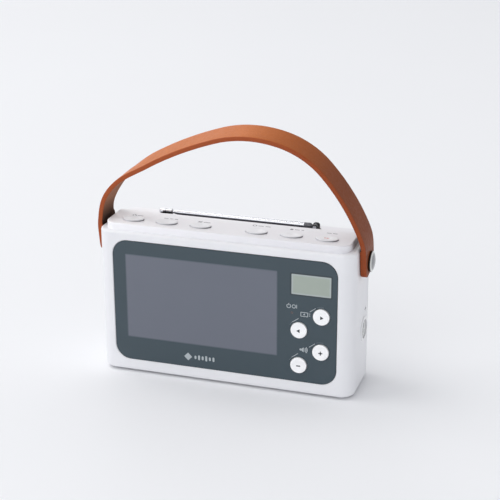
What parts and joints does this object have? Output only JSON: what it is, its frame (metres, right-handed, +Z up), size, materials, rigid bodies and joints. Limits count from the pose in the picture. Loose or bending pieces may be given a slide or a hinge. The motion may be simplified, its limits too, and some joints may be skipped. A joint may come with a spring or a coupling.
{
  "type": "portable television",
  "caption": "Small flat television with a wide screen, round front keys, oval top keys, a folding aerial, a side lamp and a leather carrying strap.",
  "frame": {"origin": "middle of the object's footprint, at the level that its feet stand on", "axes": "+X along the case, to the right seen from the front; +Y from the screen towards the back; +Z up"},
  "size_m": [0.2018, 0.0538, 0.1874],
  "materials": {
    "case_white": "satin",
    "deck_white": "satin",
    "key_white": "semi gloss",
    "window_grey": "gloss, printed behind",
    "screen_dark": "gloss",
    "light_guide": "smooth",
    "display_grey": "gloss",
    "board_green": "solder mask",
    "sheet_steel": "rolled",
    "screw_steel": "zinc plated",
    "chrome": "polished",
    "cap_dark": "dark polished",
    "insert_brass": "turned",
    "contact_metal": "nickel plated",
    "leather": "smooth, burnished edges",
    "washer_plastic": "smooth",
    "foot_rubber": "matte",
    "black_plastic": "matte",
    "lamp_white": "semi gloss",
    "lens_clear": "clear",
    "reflector": "metallised",
    "led_yellow": "phosphor",
    "indicator": "clear",
    "cone_paper": "pulp",
    "magnet_dark": "plated",
    "cell_wrap": "printed sleeve"
  },
  "bodies": {
    "case": {"front_shell": "case_white", "rear_shell": "case_white", "top_deck": "deck_white", "front_window": "window_grey", "screen_panel": "screen_dark", "screen_backlight": "light_guide", "clock_backlight": "light_guide", "clock_display": "display_grey", "main_board": "board_green", "key_board": "board_green", "top_key_board": "board_green", "jack_board": "board_green", "screen_frame": "sheet_steel", "tuner_can": "sheet_steel", "speaker_basket": "sheet_steel", "case_screws": "screw_steel", "board_screws": "screw_steel", "top_board_screws": "screw_steel", "handle_bushes": "screw_steel", "handle_screws": "chrome", "handle_inserts": "insert_brass", "battery_contacts": "contact_metal", "handle_washers": "washer_plastic", "rubber_feet": "foot_rubber", "antenna_rest": "black_plastic", "key_switches": "black_plastic", "top_key_switches": "black_plastic", "earphone_jack": "black_plastic", "dc_jack": "black_plastic", "lamp_bezel": "lamp_white", "lamp_lens": "lens_clear", "lamp_reflector": "reflector", "lamp_led": "led_yellow", "power_led": "indicator", "speaker_cone": "cone_paper", "speaker_magnet": "magnet_dark", "battery_cells": "cell_wrap"},
    "handle": {"handle_strap": "leather"},
    "antenna_turret": {"antenna_turret": "black_plastic", "antenna_clip": "screw_steel", "antenna_pin": "chrome"},
    "antenna_arm": {"antenna_knuckle": "chrome", "antenna_tube_1": "chrome"},
    "antenna_2": {"antenna_tube_2": "chrome"},
    "antenna_3": {"antenna_tube_3": "chrome"},
    "antenna_4": {"antenna_tube_4": "chrome"},
    "antenna_tip": {"antenna_rod": "chrome", "antenna_cap": "cap_dark"},
    "battery_door": {"battery_door": "case_white"},
    "channel_up_button": {"channel_up_button": "key_white"},
    "channel_down_button": {"channel_down_button": "key_white"},
    "volume_up_button": {"volume_up_button": "key_white"},
    "volume_down_button": {"volume_down_button": "key_white"},
    "power_button": {"power_button": "key_white"},
    "mode_button": {"mode_button": "key_white"},
    "menu_button": {"menu_button": "key_white"},
    "clock_button": {"clock_button": "key_white"},
    "lamp_button": {"lamp_button": "key_white"},
    "alarm_button": {"alarm_button": "key_white"}
  },
  "joints": [
    {"name": "handle_hinge", "type": "hinge", "parent": "case", "child": "handle", "pos_m": [0, 0.0014, 0.0953], "axis": [1, 0, 0], "range_deg": [-102, 78]},
    {"name": "antenna_swivel", "type": "hinge", "parent": "case", "child": "antenna_turret", "pos_m": [0.0552, 0.0153, 0.1114], "axis": [0, 0, 1], "range_deg": [-180, 0]},
    {"name": "antenna_tilt", "type": "hinge", "parent": "antenna_turret", "child": "antenna_arm", "pos_m": [0.0552, 0.0153, 0.1114], "axis": [0, 1, 0], "range_deg": [0, 90]},
    {"name": "antenna_extend_1", "type": "slide", "parent": "antenna_arm", "child": "antenna_2", "axis": [-1, 0, 0], "range_m": [0, 0.08]},
    {"name": "antenna_extend_2", "type": "slide", "parent": "antenna_2", "child": "antenna_3", "axis": [-1, 0, 0], "range_m": [0, 0.08]},
    {"name": "antenna_extend_3", "type": "slide", "parent": "antenna_3", "child": "antenna_4", "axis": [-1, 0, 0], "range_m": [0, 0.08]},
    {"name": "antenna_extend_4", "type": "slide", "parent": "antenna_4", "child": "antenna_tip", "axis": [-1, 0, 0], "range_m": [0, 0.08]},
    {"name": "battery_door_release", "type": "slide", "parent": "case", "child": "battery_door", "axis": [0, 1, 0], "range_m": [0, 0.02]},
    {"name": "channel_up_press", "type": "slide", "parent": "case", "child": "channel_up_button", "axis": [0, 1, 0], "range_m": [0, 0.0008], "stiffness_N_per_m": 1200},
    {"name": "channel_down_press", "type": "slide", "parent": "case", "child": "channel_down_button", "axis": [0, 1, 0], "range_m": [0, 0.0008], "stiffness_N_per_m": 1200},
    {"name": "volume_up_press", "type": "slide", "parent": "case", "child": "volume_up_button", "axis": [0, 1, 0], "range_m": [0, 0.0008], "stiffness_N_per_m": 1200},
    {"name": "volume_down_press", "type": "slide", "parent": "case", "child": "volume_down_button", "axis": [0, 1, 0], "range_m": [0, 0.0008], "stiffness_N_per_m": 1200},
    {"name": "power_press", "type": "slide", "parent": "case", "child": "power_button", "axis": [0, 0, -1], "range_m": [0, 0.0006], "stiffness_N_per_m": 1500},
    {"name": "mode_press", "type": "slide", "parent": "case", "child": "mode_button", "axis": [0, 0, -1], "range_m": [0, 0.0006], "stiffness_N_per_m": 1500},
    {"name": "menu_press", "type": "slide", "parent": "case", "child": "menu_button", "axis": [0, 0, -1], "range_m": [0, 0.0006], "stiffness_N_per_m": 1500},
    {"name": "clock_press", "type": "slide", "parent": "case", "child": "clock_button", "axis": [0, 0, -1], "range_m": [0, 0.0006], "stiffness_N_per_m": 1500},
    {"name": "lamp_press", "type": "slide", "parent": "case", "child": "lamp_button", "axis": [0, 0, -1], "range_m": [0, 0.0006], "stiffness_N_per_m": 1500},
    {"name": "alarm_press", "type": "slide", "parent": "case", "child": "alarm_button", "axis": [0, 0, -1], "range_m": [0, 0.0006], "stiffness_N_per_m": 1500}
  ]
}
